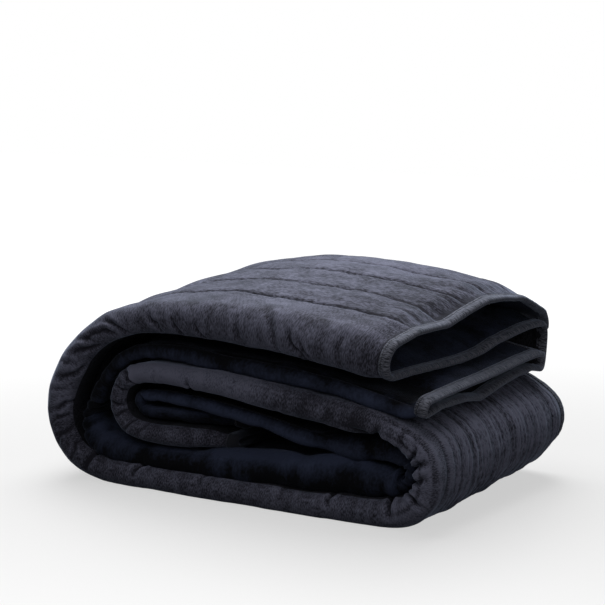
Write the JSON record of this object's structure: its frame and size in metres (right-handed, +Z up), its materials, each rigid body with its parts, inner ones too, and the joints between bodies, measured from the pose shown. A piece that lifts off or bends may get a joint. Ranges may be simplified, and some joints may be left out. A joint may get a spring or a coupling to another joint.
{
  "type": "comforter",
  "caption": "Channel-quilted velvet comforter with a plush reverse and a bound edge, folded lengthwise and rolled up flat.",
  "frame": {"origin": "centre of the folded comforter's footprint, on the surface it lies on", "axes": "+X along the coiled front towards the open end, +Y from the coiled front to the back, +Z up"},
  "size_m": [0.666, 0.452, 0.318],
  "materials": {
    "velvet": "heathered slate grey velvet, channel quilted",
    "binding": "folded strip of the same velvet"
  },
  "bodies": {
    "root": {"quilted_body": "velvet", "edge_binding": "binding"}
  },
  "joints": []
}
